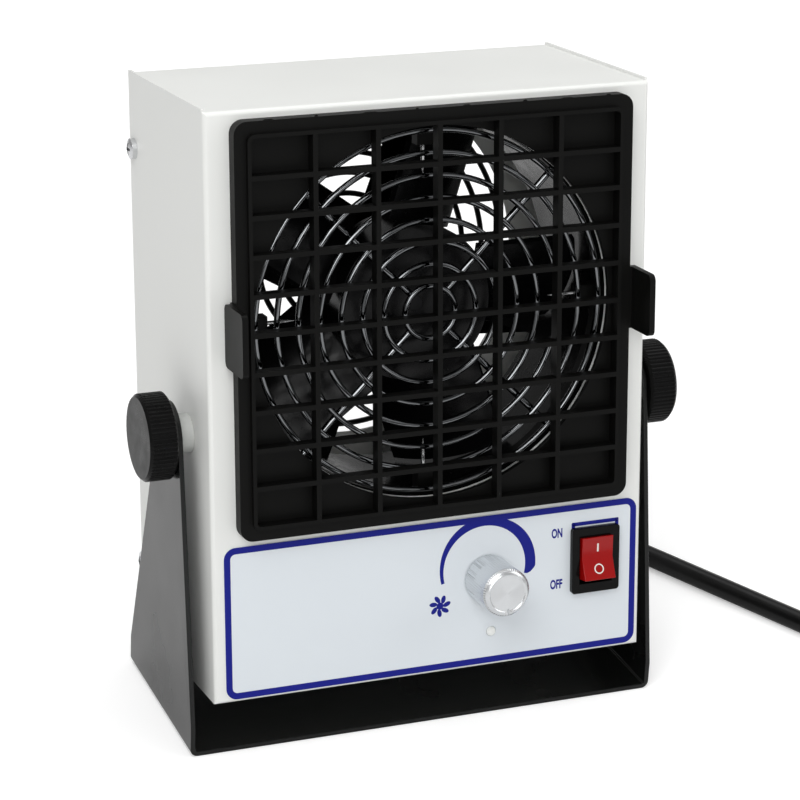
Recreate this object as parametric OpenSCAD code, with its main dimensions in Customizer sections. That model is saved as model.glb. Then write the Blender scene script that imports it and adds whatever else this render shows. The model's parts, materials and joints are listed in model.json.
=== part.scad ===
// Bench ionizing blower: a sheet-metal fan box that tilts in a U-shaped stand.
// Pieces of the box are drawn in the box's own frame (front face at y = 0, bottom at z = 0)
// and tilted() sets them on the pivot. The stand rests on z = 0.

/* [Box] */
// outer width of the box
box_w = 140; // [120:1:180]
// height of the box's side flanges
box_h = 180; // [170:1:240]
// outer depth of the box
box_d = 74; // [66:1:100]
// thickness of the box's sheet
box_t = 1.0; // [0.8:0.1:2]
// outer radius of the folded edges
fold_r = 1.6; // [1.2:0.1:3]
// height of the side flanges above the top panel
lip_h = 0.8; // [0.4:0.1:2]
// lean of the box at rest, backwards
lean = 7.5; // [0:0.5:15]
// height of the fan's axis above the box's bottom
fan_z = 114.2; // [100:0.1:150]
// side of the fan
fan_size = 119.6; // [100:0.1:125]
// depth of the fan
fan_d = 38; // [25:1:38]
// distance between the fan's mounting holes
fan_pitch = 105; // [80:0.5:110]
// radius of the air openings
air_r = 56.7; // [45:0.1:58]
// radius of the fan's bore
fan_r = 57.4; // [46:0.1:58]

/* [Stand] */
// outer width of the stand
stand_w = 153; // [140:1:200]
// depth of the stand's base
base_d = 63.5; // [50:0.5:90]
// thickness of the stand's sheet
stand_t = 1.5; // [1:0.1:3]
// outer radius of the stand's bends
bend_r = 2.4; // [1.8:0.1:5]
// height of the straight part of each arm
arm_foot = 8.8; // [4:0.1:20]
// radius of each arm's round top
arm_top_r = 10.3; // [7:0.1:14]
// height of the pivot above the table
pivot_z = 94.5; // [90:0.5:120]
// place of the pivot along the base, from its middle
pivot_y = -4.2; // [-12:0.1:12]
// pivot's place from the box's front face
pivot_in = 20.3; // [15:0.1:40]
// pivot's height above the box's bottom
pivot_up = 79.6; // [70:0.1:90]

/* [Tilt knobs] */
// radius of the studs
stud_r = 3.0; // [2:0.5:4]
// outer radius of the tilt knobs
tilt_knob_r = 13.2; // [10:0.1:18]
// thickness of the tilt knobs
tilt_knob_t = 8.9; // [6:0.1:15]
// number of flutes round a tilt knob
tilt_flutes = 60; // [30:1:72]
// outer radius of the spacers
spacer_r = 6; // [4.5:0.1:9]

/* [Filter cover] */
// outer side of the filter cover
cover_w = 125; // [115:0.5:135]
// side of the grid's opening
grid_w = 115.5; // [100:0.5:118]
// columns of the grid
grid_cols = 6; // [4:1:10]
// rows of the grid
grid_rows = 10; // [6:1:14]
// width of a grid bar
bar_w = 1.5; // [1:0.1:3]
// front of the grid, from the box's face
grid_front = 6.2; // [5:0.1:12]
// front of the cover's flat border, from the box's face
border_front = 4.6; // [3:0.1:8]
// thickness of the base frame behind the grid
base_frame_t = 1.9; // [1.5:0.1:4]
// side of the base frame
base_frame_w = 119; // [110:0.5:130]
// length of the grip tabs, from the box's face
tab_reach = 17; // [8:0.5:25]
// height of the grip tabs
tab_h = 19; // [10:0.5:30]
// thickness of the grip tabs
tab_t = 1.8; // [1.2:0.1:3]

/* [Wire guards] */
// radius of the rings' wire
wire_r = 0.9; // [0.6:0.1:1.2]
// radius of the spokes' wire
spoke_r = 1.0; // [0.8:0.1:1.5]
// number of rings
ring_count = 8; // [5:1:12]
// radius of the innermost ring
ring_first = 8; // [5:0.5:12]
// distance from ring to ring
ring_step = 6.7; // [5:0.1:9]

/* [Controls] */
// speed knob: sideways place
dial_x = 18; // [0:0.5:40]
// speed knob: height
dial_z = 29; // [20:0.5:40]
// radius of the speed knob
dial_r = 7.6; // [6:0.1:12]
// front of the speed knob, from the box's face
dial_front = 16.2; // [10:0.1:25]
// radius of the potentiometer's shaft
pot_shaft_r = 3.0; // [2:0.5:3]
// switch: sideways place
switch_x = 53.8; // [45:0.1:57]
// switch: height
switch_z = 30.9; // [20:0.1:36]
// width of the switch's rim
switch_w = 16; // [14:0.1:20]
// height of the switch's rim
switch_h = 21.2; // [18:0.1:30]
// travel of the rocker, to each side of its middle
rocker_swing = 10; // [5:1:15]
// lamp: sideways place
lamp_x = 19.3; // [0:0.1:40]
// lamp: height
lamp_z = 11.4; // [6:0.1:20]
// radius of the lamp
lamp_r = 1.5; // [1:0.1:3]
// width of the control label
label_w = 134.8; // [100:0.1:136]
// height of the control label
label_h = 47.8; // [30:0.1:50]
// thickness of the control label
label_t = 0.4; // [0.2:0.1:1]

/* [Fan] */
// number of blades
blade_count = 5; // [3:1:9]
// pitch of the blades
blade_pitch = 36; // [20:1:50]
// chord of the blades
blade_chord = 36; // [20:1:38]
// thickness of the blades
blade_t = 1.8; // [1.2:0.1:3]
// radius of the hub
hub_r = 24; // [15:0.5:28]
// gap between the blades and the bore
tip_gap = 1.2; // [0.8:0.1:3]
// radius of the fan's shaft
shaft_r = 2.5; // [1.5:0.1:4]

/* [Cord] */
// radius of the mains lead
cord_r = 3.5; // [2.5:0.1:4.5]
// length of the tapered strain relief
relief_l = 32; // [20:1:60]
// turns side by side in the coil
coil_across = 3; // [1:1:5]
// layers of turns in the coil
coil_up = 2; // [1:1:4]
// radius of the coil at the middle of its turns
coil_r = 38; // [30:1:60]

/* [Hidden] */
$fn = 96;
eps = 0.01;
gap = 0.3;             // between pieces that move past each other
run_gap = 0.05;        // between a shaft and its bore
hole_gap = 0.3;        // round a screw or stud in a clearance hole
top_z = box_h - lip_h;
base_frame_gap = 0.6;
arm_in = stand_w / 2 - stand_t;
spacer_l = arm_in - box_w / 2 - gap;
insert_l = 5;
knob_face = stand_w / 2 + gap;
back_y = box_d - 0.4;              // outer face of the rear cover
flange_d = 12;                     // depth of the rear cover's flanges
side_screw_y = box_d - 4.8;
side_screws_z = [23.5, 156.5];
side_screw_r = 1.5;
side_head_r = 3.2;
fan_screw_r = 2.0;
fan_head_r = 3.4;
sink_r = fan_screw_r + 1.3;        // countersunk heads, flush with the front panel
sink_t = 0.9;
guard_y = box_t;                                  // guard's front
spoke_y = guard_y + 2 * wire_r + spoke_r - 0.1;
ring_y = guard_y + wire_r;
guard_back = spoke_y + spoke_r;
emitter_t = 6;
fan_y = guard_back + emitter_t;
fan_back = fan_y + fan_d;
flange_t = 4.5;
motor_r = hub_r - 4.5;
cup_wall = 3;
hub_front = fan_y + 3;
hub_back = fan_back - 15;
motor_front = hub_front + cup_wall + 3;
corner_reach = fan_pitch / 2 * sqrt(2);
cover_r = 4;
skirt_t = (cover_w - base_frame_w) / 2 - base_frame_gap;
cell_w = grid_w / grid_cols;
cell_h = grid_w / grid_rows;
ridge_t = 1.15;
tab_in = cover_w / 2 + 0.7;
label_x = 0.8;
label_z = 1.2;
label_r = 3.6;
switch_hole_w = switch_w - 3.2;
switch_hole_h = switch_h - 2.2;
switch_rim_t = 1.9;
switch_deep = 19;
rocker_w = switch_w - 5.6;
rocker_h = switch_h - 7.4;
rocker_pin_r = 1.2;
rocker_y = 1.6;                    // depth of the rocker's pin
pot_nut_t = 2.2;
pot_thread_r = 3.5;
pot_r = 8.2;
relief_x = 30;
relief_z = 22;
relief_start_r = 6.6;
relief_end_r = 4.4;
board_z = 7;
board_t = 1.6;
board_x0 = 2;
board_y0 = 36;
board_w = 60;
board_d = 32;
board_inset = 3;                   // standoffs, from the board's corners
module_x0 = -62;
module_y0 = 24;
module_w = 54;
module_d = 36;
module_h = 26;
ear_w = 4;
ear_d = 12;
ear_t = 2;

// middle line of the lead from the strain relief to the table
drop_route = [[30, 73.2, 26.2], [30.4, 77.2, 25.5], [31.6, 82, 24.5], [34.8, 89, 22.7], [40.5, 96.2, 20],
              [47.9, 101.8, 16.8], [56.5, 105.2, 13.4], [66, 106.3, 10.1], [75.4, 105.1, 7.2],
              [84, 101.6, 5], [90.7, 96.8, 4], [95.65, 91.4, 3.5], [97.2, 88.8, 3.5]];
// middle line of the lead on the table, up to the coil
run_route = [[97.2, 88.8, 3.5], [98.75, 86.2, 3.5], [101.9, 79, 3.5], [107, 67.6, 3.5],
             [115, 50, 3.5], [123.2, 32, 3.5], [131.4, 14, 3.5], [139.6, -4, 3.5],
             [148.4, -23.3, 3.5], [157.15, -42.6, 3.5]];
coil_x = 198.1;
coil_y = -23.95;
coil_out = coil_r + (coil_across - 1) / 2 * 2 * cord_r + cord_r;
tail_turn = 10;                    // round the coil, where the lead's end leaves it
tail_l = 48;
tail_level = 8;                    // stretch before the lead's end slopes down
tail_z = (2 * coil_up - 1) * cord_r;       // plug's axis, level with the coil's top layer
function eased(t) = t * t * (3 - 2 * t);
tail_route = [for (y = [0, tail_level, 16, 24, 32, 40, tail_l - 1, tail_l])
    [0, y, 2 * cord_r * (1 - eased(max(0, y - tail_level) / (tail_l - tail_level)))]];
plug_neck = 18;                    // tapered sleeve of the plug
plug_w = 24;
plug_d = 24;
plug_h = 2 * tail_z;
plug_notch_r = 2;                  // finger grip in each side
pin_l = 17;
pin_t = 1.5;
pin_w = 6.3;
pin_pitch = 12.7;
pin_up = 1.9;                      // flat pins above the plug's axis
earth_r = 2.4;
earth_l = 20;
earth_down = 7.2;                  // round pin below the plug's axis

// ---- shared shapes ----

// sets a piece of the box on the pivot, leaning back
module tilted()
    translate([0, pivot_y, pivot_z]) rotate([-lean, 0, 0])
        translate([0, -pivot_in, -pivot_up]) children();

// cylinder along y from y0 to y1
module bar_y(r, y0, y1) translate([0, y0, 0]) rotate([-90, 0, 0]) cylinder(r = r, h = y1 - y0);

// cylinder along x from x0 to x1
module bar_x(r, x0, x1) translate([x0, 0, 0]) rotate([0, 90, 0]) cylinder(r = r, h = x1 - x0);

// block from one corner to the other
module block(a, b) translate(a) cube([b[0] - a[0], b[1] - a[1], b[2] - a[2]]);

// rounded rectangle in a plane, centred
module round_rect(w, h, r) {
    square([w - 2 * r, h], center = true);
    square([w, h - 2 * r], center = true);
    for (x = [-1, 1], y = [-1, 1]) translate([x * (w / 2 - r), y * (h / 2 - r)]) circle(r, $fn = 48);
}

// rounded plate facing the front, from y0 to y1, centred on z
module face_plate(w, h, r, y0, y1)
    translate([0, y1, 0]) rotate([90, 0, 0]) linear_extrude(y1 - y0) round_rect(w, h, r);

// four places of the fan's screws
module at_fan_corners()
    for (x = [-1, 1], z = [-1, 1]) translate([x * fan_pitch / 2, 0, fan_z + z * fan_pitch / 2]) children();

// mirrored pair, left and right
module both_sides() {
    children();
    mirror([1, 0, 0]) children();
}

// tube swept along a route; each ring stands square to the route
function unit(v) = v / norm(v);
function ahead(p, i) = unit(p[min(i + 1, len(p) - 1)] - p[max(i - 1, 0)]);
function ring_at(p, i, r, n) =
    let (t = ahead(p, i), s = unit(cross(t, [0, 0, 1])), u = cross(s, t))
    [for (k = [0:n - 1]) p[i] + r * (cos(360 * k / n) * s + sin(360 * k / n) * u)];
module tube(p, r, n = 10) {
    m = len(p);
    points = [for (i = [0:m - 1]) each ring_at(p, i, r, n)];
    walls = [for (i = [0:m - 2], k = [0:n - 1])
        [i * n + k, i * n + (k + 1) % n, (i + 1) * n + (k + 1) % n, (i + 1) * n + k]];
    start = [[for (k = [0:n - 1]) n - 1 - k]];
    end = [[for (k = [0:n - 1]) (m - 1) * n + k]];
    polyhedron(points, concat(walls, start, end), convexity = 6);
}

// ---- stand ----

// outline of an arm seen from the side: straight foot, tapered flanks, round top
function tangent_up(p, c, r, side) =
    let (d = c - p, l = norm(d), a = atan2(d[1], d[0]), b = asin(r / l))
    p + sqrt(l * l - r * r) * [cos(a + side * b), sin(a + side * b)];
module arm_outline() {
    c = [pivot_y, pivot_z];
    f = [-base_d / 2, arm_foot];
    b = [base_d / 2, arm_foot];
    polygon([[-base_d / 2, 0], [base_d / 2, 0], b, tangent_up(b, c, arm_top_r, -1), c,
             tangent_up(f, c, arm_top_r, 1), f]);
    translate(c) circle(arm_top_r);
}

// section of the bent sheet: base and two arms
module stand_section() {
    w = stand_w / 2;
    h = pivot_z + arm_top_r + 1;
    translate([-w + bend_r, 0]) square([stand_w - 2 * bend_r, stand_t]);
    for (s = [-1, 1]) {
        translate([s > 0 ? w - stand_t : -w, bend_r]) square([stand_t, h - bend_r]);
        translate([s * (w - bend_r), bend_r]) intersection() {
            difference() {
                circle(bend_r);
                circle(bend_r - stand_t);
            }
            translate([s > 0 ? 0 : -bend_r, -bend_r]) square(bend_r);
        }
    }
}

module bracket() color([0.16, 0.17, 0.16]) difference() {
    intersection() {
        translate([0, base_d / 2, 0]) rotate([90, 0, 0]) linear_extrude(base_d) stand_section();
        translate([-stand_w / 2, 0, 0]) rotate([90, 0, 90]) linear_extrude(stand_w) arm_outline();
    }
    translate([0, pivot_y, pivot_z]) bar_x(stud_r + hole_gap, -stand_w, stand_w);
}

// ---- box ----

// block with its upright front edges and its front top and bottom edges rounded
module folded_block(w, h, d, r) intersection() {
    linear_extrude(h) difference() {
        translate([-w / 2, 0]) square([w, d]);
        for (s = [-1, 1]) translate([s * (w / 2 - r), r]) difference() {
            translate([s > 0 ? 0 : -r, -r]) square(r);
            circle(r, $fn = 32);
        }
    }
    translate([-w / 2, 0, 0]) rotate([90, 0, 90]) linear_extrude(w) difference() {
        square([d, h]);
        for (s = [0, 1]) translate([r, s > 0 ? h - r : r]) difference() {
            translate([-r, s > 0 ? 0 : -r]) square(r);
            circle(r, $fn = 32);
        }
    }
}

module switch_opening(y0, y1)
    block([switch_x - switch_hole_w / 2, y0, switch_z - switch_hole_h / 2],
          [switch_x + switch_hole_w / 2, y1, switch_z + switch_hole_h / 2]);

module front_housing() color([0.93, 0.93, 0.92]) tilted() difference() {
    union() {
        difference() {
            folded_block(box_w, top_z, box_d, fold_r);
            translate([0, box_t, box_t])
                folded_block(box_w - 2 * box_t, top_z - 2 * box_t, box_d, fold_r - box_t);
        }
        both_sides() block([box_w / 2 - box_t, fold_r, top_z - box_t], [box_w / 2, box_d, box_h]);
    }
    translate([0, 0, fan_z]) bar_y(air_r, -1, box_t + 1);
    at_fan_corners() {
        bar_y(fan_screw_r + hole_gap, -1, box_t + 1);
        rotate([-90, 0, 0]) cylinder(r1 = sink_r + eps, r2 = fan_screw_r, h = sink_t);
    }
    switch_opening(-1, box_t + 1);
    translate([dial_x, 0, dial_z]) bar_y(pot_thread_r + hole_gap / 3, -1, box_t + 1);
    translate([lamp_x, 0, lamp_z]) bar_y(lamp_r + hole_gap / 3, -1, box_t + 1);
    translate([0, pivot_in, pivot_up]) bar_x(stud_r + hole_gap, -box_w, box_w);
    for (z = side_screws_z) translate([0, side_screw_y, z]) bar_x(side_screw_r + 0.1, -box_w, box_w);
}

module rear_cover() color([0.91, 0.91, 0.9]) tilted() difference() {
    union() {
        block([-box_w / 2 + box_t, back_y - box_t, box_t], [box_w / 2 - box_t, back_y, top_z - box_t]);
        both_sides() block([box_w / 2 - 2 * box_t, back_y - flange_d, 8],
                           [box_w / 2 - box_t, back_y - box_t, top_z - 8]);
    }
    translate([0, 0, fan_z]) bar_y(air_r, back_y - box_t - 1, back_y + 1);
    at_fan_corners() bar_y(fan_screw_r, back_y - box_t - 1, back_y + 1);
    translate([relief_x, 0, relief_z]) bar_y(relief_start_r - 1.6, back_y - box_t - 1, back_y + 1);
    for (z = side_screws_z) translate([0, side_screw_y, z]) bar_x(side_screw_r, -box_w, box_w);
}

// countersunk screw along +y, its flat head at y = 0
module flat_screw(r, head_r, head_t, l) {
    difference() {
        rotate([-90, 0, 0]) cylinder(r1 = head_r, r2 = r, h = head_t);
        for (a = [0, 90]) rotate([0, a, 0])
            block([-head_r * 0.6, -1, -0.3], [head_r * 0.6, head_t * 0.5, 0.3]);
    }
    bar_y(r, head_t - eps, l);
}

// pan-head screw along +y, its seat at y = 0, head towards -y
module pan_screw(r, head_r, head_t, l) {
    difference() {
        intersection() {
            bar_y(head_r, -head_t, 0);
            translate([0, 2.2 * head_r - head_t, 0]) sphere(2.2 * head_r);
        }
        for (a = [0, 90]) rotate([0, a, 0])
            block([-head_r * 0.55, -head_t - 1, -0.4], [head_r * 0.55, -head_t * 0.45, 0.4]);
    }
    bar_y(r, -eps, l);
}

module housing_screws() color([0.8, 0.8, 0.82]) tilted() both_sides() for (z = side_screws_z)
    translate([box_w / 2, side_screw_y, z]) rotate([0, 0, 90])
        pan_screw(side_screw_r, side_head_r, 2.3, 5);

module control_label() color([0.84, 0.86, 0.88]) tilted() difference() {
    translate([label_x, 0, label_z + label_h / 2]) face_plate(label_w, label_h, label_r, -label_t, 0);
    switch_opening(-1, 1);
    translate([dial_x, 0, dial_z]) bar_y(pot_thread_r + hole_gap / 3, -1, 1);
    translate([lamp_x, 0, lamp_z]) bar_y(lamp_r + hole_gap / 3, -1, 1);
}

// ---- filter assembly ----

module filter_base() color([0.12, 0.12, 0.12]) tilted() difference() {
    translate([0, 0, fan_z]) face_plate(base_frame_w, base_frame_w, 3, -base_frame_t, 0);
    translate([0, 0, fan_z]) bar_y(air_r, -base_frame_t - 1, 1);
}

module filter_cover() color([0.11, 0.11, 0.11]) tilted() translate([0, 0, fan_z]) {
    grid_back = base_frame_t + gap;
    // skirt and flat border
    difference() {
        face_plate(cover_w, cover_w, cover_r, -border_front, -gap);
        face_plate(cover_w - 2 * skirt_t, cover_w - 2 * skirt_t, cover_r - 1.5, -grid_back, 1);
        face_plate(grid_w, grid_w, 1.2, -border_front - 1, 1);
    }
    // raised ridge round the opening
    difference() {
        face_plate(grid_w + 2 * ridge_t, grid_w + 2 * ridge_t, 1.2 + ridge_t, -grid_front, -grid_back);
        face_plate(grid_w, grid_w, 1.2, -grid_front - 1, 1);
    }
    // grid
    for (i = [1:grid_cols - 1]) translate([-grid_w / 2 + i * cell_w, 0, 0])
        block([-bar_w / 2, -grid_front, -grid_w / 2 - eps], [bar_w / 2, -grid_back, grid_w / 2 + eps]);
    for (j = [1:grid_rows - 1]) translate([0, 0, -grid_w / 2 + j * cell_h])
        block([-grid_w / 2 - eps, -grid_front, -bar_w / 2], [grid_w / 2 + eps, -grid_back, bar_w / 2]);
    // grip tabs
    both_sides() {
        block([cover_w / 2 - 1, -border_front, -tab_h / 2], [tab_in + eps, -gap - 0.5, tab_h / 2]);
        translate([tab_in, 0, 0]) rotate([90, 0, 90]) linear_extrude(tab_t)
            translate([-(tab_reach + gap + 0.5) / 2, 0])
                round_rect(tab_reach - gap - 0.5, tab_h, 2);
    }
}

// ---- wire guards ----

// rings in front, crossed spokes behind with an eye at each end; y points backwards
module guard(flip = 1) {
    for (i = [0:ring_count - 1]) translate([0, flip * ring_y, fan_z]) rotate([90, 0, 0])
        rotate_extrude() translate([ring_first + i * ring_step, 0]) circle(wire_r, $fn = 24);
    for (a = [45, 135]) translate([0, flip * spoke_y, fan_z]) rotate([0, a, 0])
        for (s = [-1, 1]) scale([s, 1, 1])
            translate([ring_first - 1, 0, 0]) rotate([0, 90, 0])
                cylinder(r = spoke_r, h = corner_reach - ring_first + 1 - fan_screw_r - hole_gap - spoke_r,
                         $fn = 24);
    translate([0, flip * spoke_y, 0]) at_fan_corners() rotate([90, 0, 0]) rotate_extrude()
        translate([fan_screw_r + hole_gap + spoke_r, 0]) circle(spoke_r, $fn = 24);
}

module front_guard() color([0.8, 0.81, 0.82]) tilted() guard();

module rear_guard() color([0.1, 0.1, 0.1]) tilted()
    translate([0, back_y + guard_back, 0]) mirror([0, 1, 0]) guard();

// ---- fan ----

module fan_frame() color([0.13, 0.13, 0.14]) tilted() {
    difference() {
        translate([0, 0, fan_z]) {
            for (y = [fan_y, fan_back - flange_t]) face_plate(fan_size, fan_size, 6, y, y + flange_t);
            bar_y(fan_size / 2 - gap, fan_y, fan_back);
        }
        translate([0, 0, fan_z]) bar_y(fan_r, fan_y - 1, fan_back + 1);
        at_fan_corners() bar_y(fan_screw_r, fan_y - 1, fan_back + 1);
    }
    // struts that carry the motor
    for (a = [0:90:270]) translate([0, 0, fan_z]) rotate([0, a + 20, 0])
        block([motor_r - 0.4, fan_back - 4, -3], [fan_r + 0.6, fan_back, 3]);
    difference() {
        translate([0, 0, fan_z]) bar_y(motor_r, fan_back - 4, fan_back);
        translate([0, 0, fan_z]) bar_y(motor_r - 1.5, fan_back - 5, fan_back - 1.5);
    }
}

module fan_motor() color([0.2, 0.2, 0.21]) tilted() difference() {
    translate([0, 0, fan_z]) bar_y(motor_r - 1.5, motor_front, fan_back - 1.5);
    translate([0, 0, fan_z]) bar_y(shaft_r + run_gap, motor_front - 1, fan_back - 4);
}

// five wide cambered blades on a cup that turns round the motor
module impeller() color([0.1, 0.1, 0.11]) tilted() translate([0, 0, fan_z]) {
    camber_r = 62;
    difference() {
        bar_y(hub_r, hub_front, hub_back);
        bar_y(motor_r, hub_front + cup_wall, hub_back + 1);
        bar_y(shaft_r, hub_front - 1, hub_back);
    }
    difference() {
        intersection() {
            bar_y(fan_r - tip_gap, hub_front, fan_back - 5);
            for (k = [0:blade_count - 1]) rotate([0, k * 360 / blade_count, 0])
                translate([0, (hub_front + fan_back - 5) / 2, 0]) rotate([blade_pitch, 0, 0])
                    intersection() {
                        translate([0, camber_r - 3, 0]) difference() {
                            bar_x(camber_r, hub_r - 2, fan_r);
                            bar_x(camber_r - blade_t, hub_r - 3, fan_r + 1);
                        }
                        block([0, -9, -blade_chord / 2], [fan_r, 9, blade_chord / 2]);
                    }
        }
        bar_y(hub_r - 0.5, hub_front - 1, fan_back);
    }
}

module fan_shaft() color([0.75, 0.75, 0.77]) tilted() translate([0, 0, fan_z])
    bar_y(shaft_r, hub_front, fan_back - 5);

module fan_screws() color([0.75, 0.75, 0.77]) tilted() {
    at_fan_corners() flat_screw(fan_screw_r, sink_r, sink_t, fan_y + 6);
    translate([0, back_y + guard_back - spoke_y + spoke_r, 0]) at_fan_corners() rotate([0, 0, 180])
        pan_screw(fan_screw_r, fan_head_r, 2.2, 2 * spoke_r + box_t + 3);
}

// ---- ionizer ----

module emitter_frame() color([0.15, 0.15, 0.15]) tilted() difference() {
    union() {
        difference() {
            translate([0, 0, fan_z]) face_plate(fan_size, fan_size, 6, guard_back, fan_y);
            translate([0, 0, fan_z]) bar_y(air_r, guard_back - 1, fan_y + 1);
        }
        for (a = [0:90:270]) translate([0, 0, fan_z]) rotate([0, a, 0])
            block([air_r - 7, guard_back + 1, -2.5], [air_r + 1, fan_y - 0.5, 2.5]);
    }
    at_fan_corners() bar_y(fan_screw_r + hole_gap, guard_back - 1, fan_y + 1);
    for (a = [0:90:270]) translate([0, guard_back + emitter_t / 2, fan_z]) rotate([0, a, 0])
        bar_x(0.6, air_r - 8, air_r - 2);
}

module emitter_needles() color([0.7, 0.7, 0.72]) tilted()
    for (a = [0:90:270]) translate([0, guard_back + emitter_t / 2, fan_z]) rotate([0, a, 0]) {
        bar_x(0.6, air_r - 12, air_r - 2);
        translate([air_r - 12, 0, 0]) rotate([0, -90, 0]) cylinder(r1 = 0.6, r2 = 0.1, h = 4, $fn = 24);
    }

module high_voltage_module() color([0.1, 0.1, 0.1]) tilted() translate([module_x0, module_y0, box_t]) {
    cube([module_w, module_d, module_h]);
    for (x = [-ear_w, module_w]) translate([x, (module_d - ear_d) / 2, 0]) difference() {
        cube([ear_w, ear_d, ear_t]);
        translate([ear_w / 2, ear_d / 2, -1]) cylinder(r = 1.2, h = ear_t + 2);
    }
}

module control_board() color([0.1, 0.35, 0.2]) tilted() translate([board_x0, board_y0, board_z]) {
    cube([board_w, board_d, board_t]);
    // transformer, capacitors and terminal block
    translate([4, 4, board_t]) cube([18, 18, 9.4]);
    translate([34, 10, board_t]) cylinder(r = 5, h = 14);
    translate([46, 10, board_t]) cylinder(r = 4, h = 11);
    translate([52, 20, board_t]) cube([6, 10, 3.4]);
}

module board_standoffs() color([0.8, 0.75, 0.5]) tilted()
    for (x = [board_inset, board_w - board_inset], y = [board_inset, board_d - board_inset])
        translate([board_x0 + x, board_y0 + y, box_t]) cylinder(r = 2.2, h = board_z - box_t);

// ---- controls ----

module potentiometer() color([0.55, 0.56, 0.58]) tilted() translate([dial_x, 0, dial_z]) difference() {
    union() {
        bar_y(pot_r, box_t, box_t + 8.5);
        bar_y(pot_thread_r, -label_t - pot_nut_t - 0.6, box_t + eps);
        for (x = [-5, 0, 5]) block([x - 0.6, box_t + 3, -pot_r - 5], [x + 0.6, box_t + 3.6, -pot_r + 2]);
    }
    bar_y(pot_shaft_r + run_gap, -10, box_t + 6);
}

module pot_nut() color([0.7, 0.7, 0.72]) tilted() translate([dial_x, 0, dial_z]) difference() {
    translate([0, -label_t, 0]) rotate([90, 0, 0]) cylinder(r = 5.6, h = pot_nut_t, $fn = 6);
    bar_y(pot_thread_r, -10, 1);
}

module pot_shaft() color([0.75, 0.75, 0.77]) tilted() translate([dial_x, 0, dial_z])
    bar_y(pot_shaft_r, -dial_front + 4, box_t + 5.5);

// turned knob with a knurled band near the box and a spun face with an index notch
module speed_knob() color([0.82, 0.83, 0.84]) tilted() translate([dial_x, 0, dial_z]) difference() {
    knob_back = label_t + 0.4;
    rotate([90, 0, 0]) rotate_extrude() polygon([[0, knob_back], [dial_r, knob_back],
        [dial_r, dial_front - 1.4], [dial_r - 0.8, dial_front - 0.4], [dial_r - 1.6, dial_front],
        [dial_r - 2, dial_front - 0.3], [0, dial_front - 0.3]]);
    bar_y(pot_shaft_r, -dial_front + 4, 1);
    bar_y(6, -label_t - pot_nut_t - 0.8, 1);
    for (k = [0:35]) rotate([0, 10 * k, 0]) translate([dial_r + 0.15, -7, 0])
        rotate([-90, 0, 0]) cylinder(r = 0.4, h = 7, $fn = 8);
    block([-0.5, -dial_front - 1, -dial_r - 1], [0.5, -dial_front + 1, -dial_r + 2.6]);
}

module switch_body() color([0.08, 0.08, 0.08]) tilted() translate([switch_x, 0, switch_z]) difference() {
    union() {
        face_plate(switch_w, switch_h, 1, -label_t - switch_rim_t, -label_t);
        block([-switch_hole_w / 2 + 0.1, -label_t - eps, -switch_hole_h / 2 + 0.1],
              [switch_hole_w / 2 - 0.1, switch_deep, switch_hole_h / 2 - 0.1]);
    }
    block([-rocker_w / 2 - gap, -10, -rocker_h / 2 - 0.6], [rocker_w / 2 + gap, 9, rocker_h / 2 + 0.6]);
    translate([0, rocker_y, 0]) bar_x(rocker_pin_r + run_gap, -rocker_w / 2 - 0.9, rocker_w / 2 + 0.9);
}

module switch_terminals() color([0.8, 0.7, 0.45]) tilted() translate([switch_x, 0, switch_z])
    for (z = [-6, 0, 6]) block([-2.4, switch_deep, z - 0.4], [2.4, switch_deep + 7, z + 0.4]);

// two-faced rocker on a pin, the upper half pressed in at rest
module rocker() color([0.8, 0.1, 0.08]) tilted()
    translate([switch_x, rocker_y, switch_z]) rotate([-rocker_swing, 0, 0]) {
        translate([-rocker_w / 2, 0, 0]) rotate([90, 0, 90]) linear_extrude(rocker_w)
            polygon([[-5, 0], [-6.5, rocker_h / 2 - 0.2], [-2.6, rocker_h / 2 - 0.2],
                     [3, 3.2], [3, -3.2], [-2.6, -rocker_h / 2 + 0.2], [-6.5, -rocker_h / 2 + 0.2]]);
        bar_x(rocker_pin_r, -rocker_w / 2 - 0.7, rocker_w / 2 + 0.7);
    }

module lamp() color([0.9, 0.93, 0.9]) tilted() translate([lamp_x, 0, lamp_z]) {
    bar_y(lamp_r, -label_t - 0.4, 4);
    bar_y(lamp_r + 0.4, box_t, 2.2);
}

// ---- pivot ----

module pivot_inserts() color([0.75, 0.75, 0.77]) tilted() translate([0, pivot_in, pivot_up])
    both_sides() difference() {
        translate([box_w / 2 - box_t - insert_l, 0, 0]) rotate([0, 90, 0])
            cylinder(r = 5.8, h = insert_l, $fn = 6);
        bar_x(stud_r + run_gap, 0, box_w);
    }

module spacers() color([0.72, 0.73, 0.72]) tilted() translate([0, pivot_in, pivot_up])
    both_sides() difference() {
        bar_x(spacer_r, box_w / 2, box_w / 2 + spacer_l);
        bar_x(stud_r + hole_gap, 0, box_w);
    }

module stud() translate([0, pivot_y, pivot_z])
    bar_x(stud_r, box_w / 2 - box_t - insert_l - 1, knob_face + tilt_knob_t - 2.5);

module tilt_knob() translate([0, pivot_y, pivot_z]) difference() {
    translate([knob_face, 0, 0]) rotate([90, 0, 90]) rotate_extrude()
        polygon([[0, 0], [tilt_knob_r - 1, 0], [tilt_knob_r, 0.8], [tilt_knob_r, tilt_knob_t - 1],
                 [tilt_knob_r - 0.9, tilt_knob_t], [0, tilt_knob_t]]);
    bar_x(stud_r, 0, knob_face + tilt_knob_t - 2.5);
    for (k = [0:tilt_flutes - 1]) rotate([k * 360 / tilt_flutes, 0, 0])
        translate([knob_face - 1, 0, tilt_knob_r + 0.2]) rotate([0, 90, 0])
            cylinder(r = 0.5, h = tilt_knob_t + 2, $fn = 8);
}

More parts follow.
